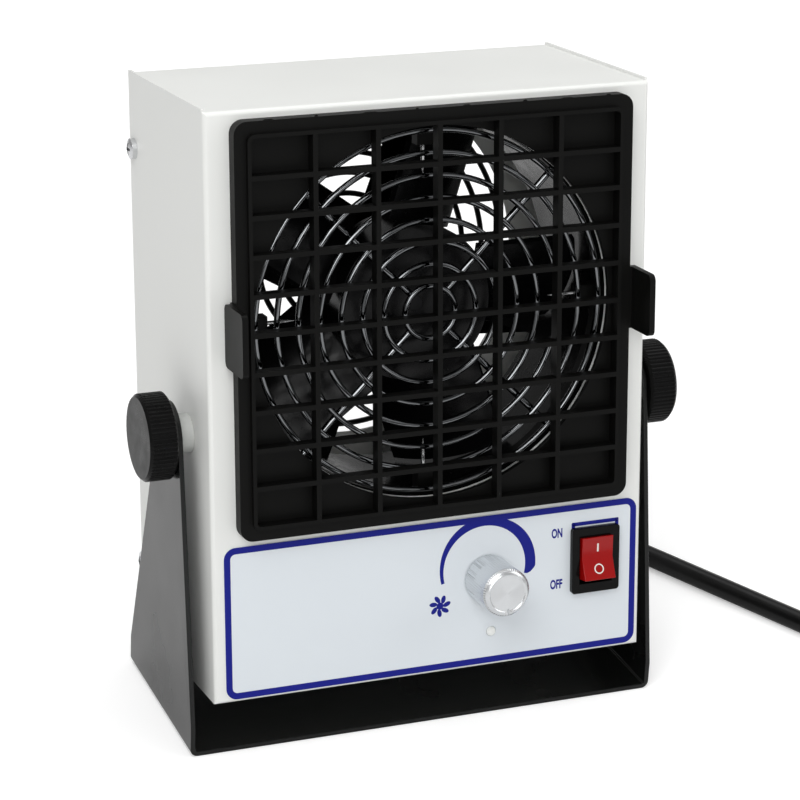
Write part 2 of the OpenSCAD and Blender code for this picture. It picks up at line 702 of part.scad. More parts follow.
module tilt_knob_right() color([0.14, 0.14, 0.14]) tilt_knob();
module tilt_knob_left() color([0.14, 0.14, 0.14]) mirror([1, 0, 0]) tilt_knob();
module tilt_stud_right() color([0.75, 0.75, 0.77]) stud();
module tilt_stud_left() color([0.75, 0.75, 0.77]) mirror([1, 0, 0]) stud();

// ---- lead ----

module strain_relief() color([0.07, 0.07, 0.07]) tilted() translate([relief_x, 0, relief_z]) {
    rotate([-90, 0, 0]) rotate_extrude() polygon([[0, back_y - box_t - 3], [7.4, back_y - box_t - 3],
        [7.4, back_y - box_t], [relief_start_r - 1.6, back_y - box_t], [relief_start_r - 1.6, back_y],
        [relief_start_r + 1, back_y], [relief_start_r + 1, back_y + 2], [relief_start_r, back_y + 2],
        [relief_end_r, back_y + relief_l], [0, back_y + relief_l]]);
}

// where the lead's end leaves the coil, y along the lead
module at_tail() translate([coil_x, coil_y, tail_z]) rotate([0, 0, tail_turn])
    translate([coil_out - cord_r, 0, 0]) children();

module cord_drop() color([0.07, 0.07, 0.07]) tube(drop_route, cord_r);
module cord_run() color([0.07, 0.07, 0.07]) tube(run_route, cord_r);
module cord_tail() color([0.07, 0.07, 0.07]) at_tail() tube(tail_route, cord_r);

module cord_coil() color([0.07, 0.07, 0.07]) translate([coil_x, coil_y, 0]) rotate_extrude()
    translate([coil_r, coil_up * cord_r]) round_rect(2 * cord_r * coil_across, 2 * cord_r * coil_up, cord_r);

module plug_body() color([0.08, 0.08, 0.08]) at_tail() translate([0, tail_l, 0]) {
    rotate([-90, 0, 0]) rotate_extrude()
        polygon([[0, 0], [cord_r + 0.6, 0], [cord_r + 2.6, plug_neck], [0, plug_neck]]);
    translate([0, plug_neck, 0]) difference() {
        block([-plug_w / 2, 0, -plug_h / 2], [plug_w / 2, plug_d, plug_h / 2]);
        for (s = [-1, 1]) translate([s * plug_w / 2, plug_d / 3, -plug_h])
            cylinder(r = plug_notch_r, h = 2 * plug_h);
    }
}

module plug_pins() color([0.8, 0.7, 0.45]) at_tail() translate([0, tail_l + plug_neck + plug_d, 0]) {
    for (s = [-1, 1]) translate([s * pin_pitch / 2, 0, pin_up])
        block([-pin_t / 2, 0, -pin_w / 2], [pin_t / 2, pin_l, pin_w / 2]);
    translate([0, 0, -earth_down]) bar_y(earth_r, 0, earth_l);
}

// ---- output ----

bracket();
cord_run();
cord_coil();
cord_tail();
plug_body();
plug_pins();
front_housing();
rear_cover();
housing_screws();
control_label();
filter_base();
front_guard();
rear_guard();
fan_frame();
fan_motor();
fan_screws();
emitter_frame();
emitter_needles();
high_voltage_module();
control_board();
board_standoffs();
potentiometer();
pot_nut();
switch_body();
switch_terminals();
lamp();
pivot_inserts();
spacers();
strain_relief();
cord_drop();
filter_cover();
impeller();
fan_shaft();
speed_knob();
pot_shaft();
rocker();
tilt_knob_left();
tilt_stud_left();
tilt_knob_right();
tilt_stud_right();
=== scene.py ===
"""Detailed pieces, finishes and stage for a bench ionizing blower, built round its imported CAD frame."""

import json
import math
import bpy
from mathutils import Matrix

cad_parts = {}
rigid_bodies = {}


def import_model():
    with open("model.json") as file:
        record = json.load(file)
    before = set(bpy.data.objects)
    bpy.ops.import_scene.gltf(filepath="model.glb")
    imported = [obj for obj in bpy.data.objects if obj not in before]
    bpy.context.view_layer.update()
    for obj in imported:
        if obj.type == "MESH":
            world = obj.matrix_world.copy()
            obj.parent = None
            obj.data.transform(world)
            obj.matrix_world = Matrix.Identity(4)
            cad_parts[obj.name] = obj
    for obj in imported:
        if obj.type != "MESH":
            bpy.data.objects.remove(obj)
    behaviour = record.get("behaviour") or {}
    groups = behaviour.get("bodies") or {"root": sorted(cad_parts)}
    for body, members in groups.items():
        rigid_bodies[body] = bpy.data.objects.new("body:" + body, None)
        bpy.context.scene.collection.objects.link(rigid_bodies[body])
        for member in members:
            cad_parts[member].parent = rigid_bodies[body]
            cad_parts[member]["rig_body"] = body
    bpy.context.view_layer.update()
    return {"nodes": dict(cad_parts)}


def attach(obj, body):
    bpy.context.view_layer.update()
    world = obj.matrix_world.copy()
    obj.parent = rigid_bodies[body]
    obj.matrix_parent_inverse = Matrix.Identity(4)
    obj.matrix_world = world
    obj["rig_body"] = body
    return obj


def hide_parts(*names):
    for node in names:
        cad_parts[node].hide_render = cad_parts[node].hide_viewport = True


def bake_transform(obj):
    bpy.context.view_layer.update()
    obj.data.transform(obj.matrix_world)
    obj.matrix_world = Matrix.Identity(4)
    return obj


bl_info = {
    "name": "Bench ionizing blower",
    "version": (1, 0, 0),
    "blender": (4, 5, 0),
    "location": "View3D > Sidebar > Blower",
    "description": "Detailed pieces, finishes and stage for a bench ionizing blower",
    "category": "Object",
}

import bmesh
import bpy
from mathutils import Matrix, Vector

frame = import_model()

# ---- places, in millimetres, as in the CAD source ----

LEAN = 7.5
PIVOT = (0.0, -4.2, 94.5)
PIVOT_IN_BOX = (0.0, 20.3, 79.6)
BACK = 73.6
FAN_HEIGHT = 114.2
COVER_WIDTH = 125.0
COVER_FRONT = 4.6

LABEL_CENTRE = (0.8, 25.1)
LABEL_SIZE = (134.8, 47.8)
LABEL_CORNER = 3.6
LABEL_THICK = 0.4
DIAL = (18.0, 29.0)
DIAL_FACE = 7.1
DIAL_FLUTES = 60
SWITCH = (53.8, 30.9)
ROCKER_PIN_DEPTH = 1.6
ROCKER_SWING = 10.0
ROCKER_FRONT = 5.0
ROCKER_FALL = 1.5
ROCKER_HALF = 6.7
MARK_HEIGHT = 0.03
LAMP = (19.3, 11.4)

# what is printed on the label: centres, sizes and widths
SWITCH_PRINT = (54.2, 31.8)
SWITCH_PRINT_SIZE = (16.0, 22.6)
SWITCH_PRINT_WIDTH = 1.2
SCALE_PRINT = (17.0, 32.3)
SCALE_RADIUS = 13.6
SCALE_PAST = 14.0
SIGN_PRINT = (2.3, 21.9)
SIGN_PETALS = 7
SIGN_PETAL_SIZE = (1.3, 0.72)
SIGN_PETAL_PLACE = (2.25, 0.35)
SIGN_TWIST = 24.0
SIGN_DOT = 1.15
WORDS = (("print_on", "ON", (41.3, 40.4)), ("print_off", "OFF", (41.2, 23.8)))
CAP_HEIGHT = 3.1
LETTER_NARROWING = 0.58

RELIEF = (30.0, 22.0)
RELIEF_LENGTH = 32.0
DROP = (
    (30, 73.2, 26.2), (30.4, 77.2, 25.5), (31.6, 82, 24.5), (34.8, 89, 22.7), (40.5, 96.2, 20),
    (47.9, 101.8, 16.8), (56.5, 105.2, 13.4), (66, 106.3, 10.1), (75.4, 105.1, 7.2),
    (84, 101.6, 5), (90.7, 96.8, 4), (95.65, 91.4, 3.5), (97.2, 88.8, 3.5),
)
RUN = (
    (98.75, 86.2, 3.5), (101.9, 79, 3.5), (107, 67.6, 3.5), (115, 50, 3.5), (123.2, 32, 3.5),
    (131.4, 14, 3.5), (139.6, -4, 3.5), (148.4, -23.3, 3.5),
)
COIL = (198.1, -23.95)
COIL_RADII = (31.0, 38.0, 45.0)
COIL_START = 204.5
COIL_SHIFT = 100.0
COIL_REST = 160.0
COIL_CROSSING = 205.0
LAID = 3.5
LAYER = 7.0
TAIL_TURN = 10.0
TAIL = 48.0
TAIL_LEVEL = 8.0
TAIL_HEIGHT = 10.5
PLUG_NECK = 18.0
PLUG_SIZE = (24.0, 24.0, 21.0)
PLUG_ROUND = 3.2
NECK_RIBS = 5
NECK_PITCH = 3.2

# thin flash along the cover's top edge: place, length and height of each scrap
FLASH = (
    (-52.0, 3.5, 0.3), (-37.5, 1.2, 0.45), (-21.0, 5.0, 0.22), (-6.5, 1.0, 0.4),
    (9.0, 2.6, 0.28), (27.5, 1.4, 0.42), (41.0, 4.2, 0.2), (54.5, 1.6, 0.35),
)

# ---- stage, in metres, watts and millimetres of lens ----

CAMERA_PLACE = (-0.3168, -0.7634, 0.4455)
CAMERA_AHEAD = (0.3521, 0.8508, -0.39009)
CAMERA_UP = (0.10376, 0.37873, 0.91967)
CAMERA_LENS = 131.57
CAMERA_SENSOR = 36.0
AIM = (0, 0, 0.09)
LAMPS = (
    ("key_softbox", (-0.75, -0.85, 1.35), 1.0, 11.5),
    ("front_fill", (-0.35, -1.5, 0.7), 0.7, 5.0),
    ("top_softbox", (0.15, 0.35, 1.55), 1.4, 10.0),
    ("right_fill", (1.3, -0.5, 0.9), 0.9, 4.0),
)

# lathe marks on the speed knob, in metres
TOOL_MARKS = 0.00022

# matrices from a piece's own millimetres to metres in the shared frame
METRES = Matrix.Scale(0.001, 4)
IN_BOX = (
    METRES @ Matrix.Translation(PIVOT) @ Matrix.Rotation(math.radians(-LEAN), 4, "X")
    @ Matrix.Translation([-v for v in PIVOT_IN_BOX])
)
AT_PLUG = (
    METRES @ Matrix.Translation((*COIL, TAIL_HEIGHT)) @ Matrix.Rotation(math.radians(TAIL_TURN), 4, "Z")
    @ Matrix.Translation((COIL_RADII[-1], TAIL, 0))
)
FACING_FRONT = Matrix.Rotation(math.radians(90), 4, "X")
FACING_BACK = Matrix.Rotation(math.radians(-90), 4, "X")


def linear(code):
    """A linear colour from an sRGB hex value."""
    parts = [int(code[i:i + 2], 16) / 255 for i in (0, 2, 4)]
    return [c / 12.92 if c <= 0.04045 else ((c + 0.055) / 1.055) ** 2.4 for c in parts]


# ---- properties ----


class BlowerSizes(bpy.types.PropertyGroup):
    """Sizes of the detailed pieces"""

    edge_round: bpy.props.FloatProperty(
        name="Edge round", description="Radius on the edges of the sheet-metal pieces",
        default=0.00025, min=0.00005, max=0.001, unit="LENGTH", precision=5)
    moulded_round: bpy.props.FloatProperty(
        name="Moulded edge round", description="Radius on the edges of the moulded plastic pieces",
        default=0.0002, min=0.00005, max=0.001, unit="LENGTH", precision=5)
    border_width: bpy.props.FloatProperty(
        name="Border width", description="Width of the printed border on the control label",
        default=0.002, min=0.0005, max=0.005, unit="LENGTH", precision=4)
    print_height: bpy.props.FloatProperty(
        name="Print height", description="How far the print stands above the label",
        default=0.00004, min=0.00001, max=0.0002, unit="LENGTH", precision=5)
    cord_diameter: bpy.props.FloatProperty(
        name="Lead diameter", description="Outer diameter of the mains lead",
        default=0.007, min=0.005, max=0.009, unit="LENGTH", precision=4)
    relief_ribs: bpy.props.IntProperty(
        name="Strain relief ribs", description="Ribs along the tapered strain relief",
        default=6, min=3, max=10)


class BlowerColours(bpy.types.PropertyGroup):
    """Colours that a user would change"""

    housing: bpy.props.FloatVectorProperty(
        name="Housing", description="Powder coat of the box", subtype="COLOR", default=linear("e9eae7"),
        min=0, max=1)
    stand: bpy.props.FloatVectorProperty(
        name="Stand", description="Enamel of the stand", subtype="COLOR", default=linear("0d0e0d"),
        min=0, max=1)
    plastic: bpy.props.FloatVectorProperty(
        name="Filter cover", description="Moulded plastic of the filter cover", subtype="COLOR",
        default=linear("0b0b0a"), min=0, max=1)
    label: bpy.props.FloatVectorProperty(
        name="Label", description="Ground of the control label", subtype="COLOR", default=linear("dce2e7"),
        min=0, max=1)
    ink: bpy.props.FloatVectorProperty(
        name="Ink", description="Ink printed on the control label", subtype="COLOR",
        default=linear("171e82"), min=0, max=1)
    rocker: bpy.props.FloatVectorProperty(
        name="Rocker", description="Tinted rocker of the switch", subtype="COLOR", default=linear("a00605"),
        min=0, max=1)


# ---- materials ----


def add(tree, kind, inputs=(), **settings):
    """Adds a node, with settings on it and values or links on its inputs, and returns it."""
    made = tree.nodes.new(kind)
    for key, value in settings.items():
        setattr(made, key, value)
    for socket, value in dict(inputs).items():
        if isinstance(value, bpy.types.NodeSocket):
            tree.links.new(value, made.inputs[socket])
        else:
            made.inputs[socket].default_value = value
    return made


def opaque(colour):
    return (*colour, 1.0)


def surface(name, colour, rough, grain, depth, patch=30.0, tone=0.06, rough_spread=0.06, **shader):
    """A finish with fine relief, patchy colour and patchy gloss. grain, depth and patch are in mm:
    the distance between the relief's bumps, their height, and the size of the soft patches."""
    found = bpy.data.materials.get(name)
    if found:
        return found
    made = bpy.data.materials.new(name)
    made.use_nodes = True
    tree = made.node_tree
    tree.nodes.clear()
    place = add(tree, "ShaderNodeTexCoord").outputs["Object"]
    patches = add(tree, "ShaderNodeTexNoise", {
        "Vector": place, "Scale": 1000 / patch, "Detail": 3.0, "Roughness": 0.55}).outputs["Fac"]
    relief = add(tree, "ShaderNodeTexNoise", {
        "Vector": place, "Scale": 1000 / grain, "Detail": 2.0, "Roughness": 0.6}).outputs["Fac"]
    dark = [c * (1 - tone) for c in colour]
    light = [min(1.0, c * (1 + tone)) for c in colour]
    tint = add(tree, "ShaderNodeMix", {"Factor": patches}, data_type="RGBA")
    # the Mix node keeps one pair of sockets per data type, so the colours' pair is found by its name
    for socket, value in (("A_Color", dark), ("B_Color", light)):
        next(s for s in tint.inputs if s.identifier == socket).default_value = opaque(value)
    gloss = add(tree, "ShaderNodeMapRange", {
        "Value": patches, "From Min": 0.3, "From Max": 0.7,
        "To Min": max(0.02, rough - rough_spread), "To Max": min(1.0, rough + rough_spread)})
    bump = add(tree, "ShaderNodeBump", {"Height": relief, "Strength": 0.5, "Distance": depth / 1000})
    colour_out = next(s for s in tint.outputs if s.identifier == "Result_Color")
    body = add(tree, "ShaderNodeBsdfPrincipled", {
        "Base Color": colour_out, "Roughness": gloss.outputs["Result"], "Normal": bump.outputs["Normal"],
        **shader})
    add(tree, "ShaderNodeOutputMaterial", {"Surface": body.outputs["BSDF"]})
    return made


def shader_of(made):
    return next(n for n in made.node_tree.nodes if n.type == "BSDF_PRINCIPLED")


def powder_coat():
    """Polyester powder coat on steel: soft satin white with a faint orange peel that blurs highlights."""
    return surface("powder_coated_steel", bpy.context.scene.blower_colours.housing, 0.42, 1.6, 0.02,
                   tone=0.012, rough_spread=0.04)


def stoved_enamel():
    """Stoved black enamel on steel: semi-gloss, so it mirrors the box and the table softly."""
    return surface("stoved_black_enamel", bpy.context.scene.blower_colours.stand, 0.24, 2.2, 0.015,
                   tone=0.1, rough_spread=0.05, **{"Coat Weight": 0.08, "Coat Roughness": 0.2,
                                                   "Specular IOR Level": 0.34})


def textured_abs():
    """Moulded ABS with a spark-eroded skin: dark, semi-matte, faint sheen on the edges."""
    return surface("spark_textured_abs", bpy.context.scene.blower_colours.plastic, 0.46, 0.35, 0.02,
                   tone=0.15, rough_spread=0.06, **{"Specular IOR Level": 0.12})


def glossy_pbt():
    """Glass-filled PBT of the fan: dark, smooth, with soft flow marks and bright highlights."""
    return surface("moulded_pbt", linear("0c0c0d"), 0.22, 1.8, 0.03, patch=9.0, tone=0.2,
                   rough_spread=0.08, **{"Specular IOR Level": 0.22})


def chromed_wire():
    """Chrome plate on drawn wire, its colour darkened as painted shade for the dark surroundings it
    mirrors: sharp highlights on a dark, slightly wavy surface.
    """
    # 7c7e80 is darker than chrome: painted shade standing in for the dark reflections inside the cover
    return surface("chromed_wire", linear("7c7e80"), 0.05, 2.4, 0.02, tone=0.05, rough_spread=0.02,
                   Metallic=1.0)


def chromed_steel():
    """Chrome plate on a pressed screw head: bright with dark recesses."""
    return surface("chromed_screw", linear("d9dadc"), 0.18, 0.8, 0.015, patch=2.0, tone=0.08,
                   Metallic=1.0)


def painted_wire():
    """Black dipped wire: smooth lacquer with thick and thin places."""
    return surface("dipped_black_wire", linear("0c0c0c"), 0.34, 1.4, 0.03, patch=8.0, tone=0.2,
                   **{"Specular IOR Level": 0.25})


def zinc_steel():
    """Zinc plate with a clear passivate: grey metal, slightly mottled."""
    return surface("zinc_plated_steel", linear("c4c6c8"), 0.3, 0.6, 0.01, patch=1.5, tone=0.12,
                   Metallic=1.0)


def spun_metal(name, colour, rough, centre, axis, turn, flutes, face):
    """Metal turned on a lathe: rings of fine tool marks on its face, which draw its highlights out
    into rays, and flutes round its side. The real marks are about 0.05 mm apart, and 0.22 mm is
    drawn, so that they show. centre and face are in metres, and axis is the lathe's."""
    made = surface(name, colour, rough, 0.7, 0.0008, patch=4.0, tone=0.03, rough_spread=0.03,
                   **{"Metallic": 1.0, "Anisotropic": 0.8})
    tree = made.node_tree
    if tree.nodes.get("tool marks"):
        return made
    place = next(n for n in tree.nodes if n.type == "TEX_COORD").outputs["Object"]
    # Object coordinates are carried to the lathe's axis: first to the piece's centre, then turned
    moved = add(tree, "ShaderNodeVectorMath", {0: place, 1: tuple(-v for v in centre)}).outputs[0]
    turned = add(tree, "ShaderNodeMapping", {"Vector": moved, "Rotation": turn}).outputs[0]
    marks = add(tree, "ShaderNodeTexWave", {
        "Vector": turned, "Scale": math.tau / 20 / TOOL_MARKS, "Distortion": 0.4,
        "Detail": 2.0, "Detail Scale": 4.0},
        wave_type="RINGS", rings_direction="Z", name="tool marks")
    first = next(n for n in tree.nodes if n.type == "BUMP")
    rings = add(tree, "ShaderNodeBump", {
        "Height": marks.outputs["Fac"], "Strength": 0.3, "Distance": 0.000004,
        "Normal": first.outputs["Normal"]})
    # flutes: a wave in the angle round the axis, only outside the flat face
    split = add(tree, "ShaderNodeSeparateXYZ", {"Vector": turned})
    angle = add(tree, "ShaderNodeMath", {
        0: split.outputs["Y"], 1: split.outputs["X"]}, operation="ARCTAN2").outputs[0]
    phase = add(tree, "ShaderNodeMath", {0: angle, 1: float(flutes)}, operation="MULTIPLY").outputs[0]
    wave = add(tree, "ShaderNodeMath", {0: phase}, operation="SINE").outputs[0]
    flat = add(tree, "ShaderNodeCombineXYZ", {"X": split.outputs["X"], "Y": split.outputs["Y"]})
    away = add(tree, "ShaderNodeVectorMath", {0: flat.outputs[0]}, operation="LENGTH").outputs["Value"]
    side = add(tree, "ShaderNodeMath", {0: away, 1: face}, operation="GREATER_THAN").outputs[0]
    cut = add(tree, "ShaderNodeMath", {0: wave, 1: side}, operation="MULTIPLY")
    fluted = add(tree, "ShaderNodeBump", {
        "Height": cut.outputs[0], "Strength": 0.8, "Distance": 0.0001, "Normal": rings.outputs["Normal"]})
    body = shader_of(made)
    tree.links.new(fluted.outputs["Normal"], body.inputs["Normal"])
    along = add(tree, "ShaderNodeVectorMath", {0: moved, 1: tuple(axis)}, operation="CROSS_PRODUCT")
    tangent = add(tree, "ShaderNodeVectorTransform", {"Vector": along.outputs[0]},
                  vector_type="VECTOR", convert_from="OBJECT", convert_to="WORLD")
    tree.links.new(tangent.outputs[0], body.inputs["Tangent"])
    return made


def phenolic():
    """Compression-moulded knob plastic: black, satin, faintly mottled."""
    return surface("moulded_phenolic", linear("0b0b0b"), 0.3, 0.5, 0.012, patch=5.0, tone=0.15,
                   **{"Specular IOR Level": 0.12})


def gloss_nylon():
    """Polished nylon of the switch bezel: deep black with sharp highlights."""
    return surface("polished_black_nylon", linear("0a0a0a"), 0.16, 3.0, 0.01, tone=0.1, rough_spread=0.04,
                   **{"Specular IOR Level": 0.13})


def grey_nylon():
    """Turned grey nylon of the spacers: pale, matte."""
    return surface("grey_nylon", linear("b9bbb8"), 0.5, 0.5, 0.015, patch=4.0, tone=0.04)


def label_film():
    """Polycarbonate overlay with a fine velvet face: pale, even, satin."""
    return surface("velvet_polycarbonate", bpy.context.scene.blower_colours.label, 0.38, 0.25, 0.006,
                   tone=0.015, rough_spread=0.04)


def screen_ink():
    """Screen-printed ink: flat colour with a slightly glossier skin than the film."""
    return surface("screen_ink", bpy.context.scene.blower_colours.ink, 0.4, 0.3, 0.004, tone=0.05,
                   **{"Specular IOR Level": 0.15})


def white_ink():
    """Pad-printed white marks."""
    return surface("pad_printed_white", linear("e6e0da"), 0.45, 0.3, 0.004, tone=0.03)


def tinted_polycarbonate():
    """Tinted polycarbonate rocker: red that lets a little light through and shines at its edges."""
    return surface("tinted_polycarbonate", bpy.context.scene.blower_colours.rocker, 0.14, 2.0, 0.01,
                   tone=0.06, rough_spread=0.04, **{"Transmission Weight": 0.12, "IOR": 1.58,
                                                    "Specular IOR Level": 0.3})


def lamp_lens():
    """Clear diffusing lens of the lamp: milky, glossy."""
    return surface("diffusing_lens", linear("f4f6f3"), 0.22, 0.6, 0.01, patch=2.0, tone=0.03,
                   **{"Transmission Weight": 0.05, "IOR": 1.49})


def pvc():
    """Extruded PVC jacket: black, soft satin, faintly rippled along its length."""
    return surface("extruded_pvc", linear("0c0c0c"), 0.36, 3.0, 0.06, patch=18.0, tone=0.2,
                   rough_spread=0.08, **{"Specular IOR Level": 0.22})


def moulded_pvc():
    """Moulded PVC of the plug and strain relief: black, matte skin."""
    return surface("moulded_pvc", linear("0e0e0e"), 0.48, 0.5, 0.02, patch=8.0, tone=0.15,
                   **{"Specular IOR Level": 0.25})


def brass():
    """Stamped brass, nickel-free: warm metal, lightly scuffed."""
    return surface("stamped_brass", linear("c9a765"), 0.3, 0.8, 0.01, patch=3.0, tone=0.1, Metallic=1.0)


def epoxy_potting():
    """Black epoxy poured over the high-voltage parts: smooth with faint pits."""
    return surface("epoxy_potting", linear("111111"), 0.3, 4.0, 0.05, patch=12.0, tone=0.2)


def solder_mask():
    """Green solder mask over glass-epoxy board."""
    return surface("solder_mask", linear("1d5a35"), 0.32, 1.2, 0.01, patch=6.0, tone=0.15)


def case_steel():
    """Plated steel case of the potentiometer."""
    return surface("plated_case_steel", linear("9c9ea1"), 0.34, 0.6, 0.01, patch=2.0, tone=0.1,
                   Metallic=1.0)


def bare_steel():
    """Drawn stainless steel of shafts, studs and needles."""
    return surface("drawn_stainless", linear("cbcccd"), 0.22, 0.4, 0.006, patch=2.0, tone=0.06,
                   Metallic=1.0)


def oiled_steel():
    """Blackened, oiled steel of the fan's shaft: dark, with a dull shine."""
    return surface("oiled_dark_steel", linear("2b2b2c"), 0.38, 0.5, 0.008, patch=2.0, tone=0.1,
                   Metallic=1.0)


# ---- building ----


def piece(name, mesh, body, finish, replaced=()):
    """Puts a finished mesh, already in metres and in place, into the scene, on its body."""
    made = bpy.data.objects.new(name, mesh)
    bpy.context.scene.collection.objects.link(made)
    mesh.materials.clear()
    mesh.materials.append(finish)
    if body:
        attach(made, body)
    if replaced:
        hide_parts(*replaced)
    return made


def closed(bm, name, place, smooth=35.0):
    """The bmesh as a mesh: moved by place, doubles merged, faces outward, smooth below an angle."""
    bmesh.ops.transform(bm, matrix=place, verts=bm.verts)
    bmesh.ops.remove_doubles(bm, verts=bm.verts, dist=1e-7)
    bmesh.ops.recalc_face_normals(bm, faces=bm.faces)
    mesh = bpy.data.meshes.new(name)
    bm.to_mesh(mesh)
    bm.free()
    mesh.shade_smooth()
    mesh.set_sharp_from_angle(angle=math.radians(smooth))
    return mesh


def rounded_edges(made, width, segments=2, angle=35.0):
    """Rounds a piece's sharp edges."""
    bevel = made.modifiers.new("Rounded edges", "BEVEL")
    bevel.width = width
    bevel.segments = segments
    bevel.limit_method = "ANGLE"
    bevel.angle_limit = math.radians(angle)
    bevel.harden_normals = True
    bevel.use_clamp_overlap = True
    return made


def refined(node, name, finish, width=0.0, segments=2):
    """A merged copy of a CAD node with rounded edges, which stands for the node."""
    source = frame["nodes"][node]
    bm = bmesh.new()
    bm.from_mesh(source.data)
    bmesh.ops.remove_doubles(bm, verts=bm.verts, dist=1e-6)
    bmesh.ops.dissolve_limit(bm, angle_limit=math.radians(0.3), verts=bm.verts, edges=bm.edges)
    mesh = bpy.data.meshes.new(name)
    bm.to_mesh(mesh)
    bm.free()
    if "custom_normal" in mesh.attributes:
        mesh.attributes.remove(mesh.attributes["custom_normal"])
    mesh.shade_smooth()
    mesh.set_sharp_from_angle(angle=math.radians(32))
    made = piece(name, mesh, source["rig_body"], finish, (node,))
    if width:
        rounded_edges(made, width, segments)
    return made


def spun(profile, segments=96):
    """A bmesh turned round +Z from (radius, height) points."""
    bm = bmesh.new()
    points = [bm.verts.new((r, 0, h)) for r, h in profile]
    edges = [bm.edges.new(pair) for pair in zip(points, points[1:])]
    bmesh.ops.spin(bm, geom=points + edges, cent=(0, 0, 0), axis=(0, 0, 1), angle=math.tau,
                   steps=segments, use_merge=True)
    bmesh.ops.remove_doubles(bm, verts=bm.verts, dist=1e-5)
    return bm


def rounded_face(bm, width, height, corner, centre=(0.0, 0.0), lift=0.0):
    """A flat rounded rectangle in bm, facing +Z."""
    made = bmesh.ops.create_grid(bm, x_segments=1, y_segments=1, size=0.5)["verts"]
    bmesh.ops.scale(bm, vec=(width, height, 1), verts=made)
    bmesh.ops.translate(bm, vec=(*centre, lift), verts=made)
    result = bmesh.ops.bevel(bm, geom=made, offset=corner, offset_type="OFFSET", segments=8, profile=0.5,
                             affect="VERTICES", material=-1)
    return max((v.link_faces[0] for v in result["verts"]), key=lambda f: f.calc_area())


def thickened(bm, faces, height):
    """Raises flat faces into a plate of that height."""
    raised = bmesh.ops.extrude_face_region(bm, geom=faces)["geom"]
    bmesh.ops.translate(bm, vec=(0, 0, height),
                        verts=[g for g in raised if isinstance(g, bmesh.types.BMVert)])


def outline(bm, width, height, corner, band, centre, lift):
    """A rounded rectangle's flat outline, band wide."""
    face = rounded_face(bm, width, height, corner, centre, lift)
    ring = bmesh.ops.inset_region(bm, faces=[face], thickness=band, use_boundary=True,
                                  use_even_offset=True)["faces"]
    bmesh.ops.delete(bm, geom=[face], context="FACES_ONLY")
    return ring


def lettering(bm, words, cap_height, centre, lift):
    """Plain, narrow capital letters as flat faces, centred at a place."""
    curve = bpy.data.curves.new("words", "FONT")
    curve.body = words
    curve.align_x = "CENTER"
    curve.offset = 0.035
    holder = bpy.data.objects.new("words", curve)
    bpy.context.scene.collection.objects.link(holder)
    bpy.context.view_layer.update()
    mesh = bpy.data.meshes.new_from_object(holder.evaluated_get(bpy.context.evaluated_depsgraph_get()))
    bpy.data.objects.remove(holder)
    bpy.data.curves.remove(curve)
    before = set(bm.verts)
    bm.from_mesh(mesh)
    bpy.data.meshes.remove(mesh)
    made = [v for v in bm.verts if v not in before]
    low, high = min(v.co.y for v in made), max(v.co.y for v in made)
    scale = cap_height / (high - low)
    bmesh.ops.translate(bm, vec=(0, -(low + high) / 2, 0), verts=made)
    bmesh.ops.scale(bm, vec=(LETTER_NARROWING * scale, scale, 0), verts=made)
    bmesh.ops.translate(bm, vec=(*centre, lift), verts=made)


# ---- lead ----


def smooth_route(points, step):
    """Points along a Catmull-Rom curve through a route, about step apart."""
    knots = [Vector(p) for p in points]
    knots = [2 * knots[0] - knots[1], *knots, 2 * knots[-1] - knots[-2]]
    made = []
    for a, b, c, d in zip(knots, knots[1:], knots[2:], knots[3:]):
        parts = max(1, round((c - b).length / step))
        for i in range(parts):
            t = i / parts
            made.append(0.5 * (2 * b + (c - a) * t + (2 * a - 5 * b + 4 * c - d) * t * t
                               + (3 * b - a - 3 * c + d) * t ** 3))
    return [*made, knots[-2]]


def ease(value, start, end):
    """0 before start, 1 after end, smooth between."""
    t = min(1.0, max(0.0, (value - start) / (end - start)))
    return t * t * (3 - 2 * t)


def coil_point(turned):
    """Middle line of the coil: inwards on the bottom layer, up, outwards on the
    top layer, and at last over its own outermost turn."""
    inner, middle, outer = COIL_RADII
    rest = 360 - COIL_SHIFT
    first = COIL_START + rest
    climb = first + 360 + COIL_SHIFT + COIL_REST
    back = climb + COIL_SHIFT + COIL_REST
    step_in, step_out = outer - middle, middle - inner
    radius = (outer - step_in * ease(turned, first, first + COIL_SHIFT)
              - step_out * ease(turned, first + 360, first + 360 + COIL_SHIFT)
              + step_out * ease(turned, back, back + COIL_SHIFT)
              + step_in * ease(turned, back + 360, back + 360 + COIL_SHIFT))
    over = back + 360 + COIL_SHIFT + COIL_CROSSING
    lifted = ease(turned, climb, climb + COIL_SHIFT) + ease(turned, over, over + COIL_SHIFT)
    height = LAID + LAYER * lifted
    angle = math.radians(turned)
    return Vector((COIL[0] + radius * math.cos(angle), COIL[1] + radius * math.sin(angle), height))


def lead_path():
    """The whole lead's middle line, in millimetres: drop, run, coil and tail."""
    coil_end = 360 * 6 + TAIL_TURN
    turns = [coil_point(COIL_START + i * 8.0) for i in range(int((coil_end - COIL_START) / 8.0) + 1)]
    turns.append(coil_point(coil_end))
    laid = smooth_route([*DROP, *RUN, turns[0]], 4.0)
    ahead = Matrix.Rotation(math.radians(TAIL_TURN), 3, "Z") @ Vector((0, 1, 0))
    tail = [turns[-1] + ahead * along - Vector((0, 0, LAYER * ease(along, TAIL_LEVEL, TAIL)))
            for along in range(4, int(TAIL) + 1, 4)]
    return [*laid, *turns[1:], *tail]


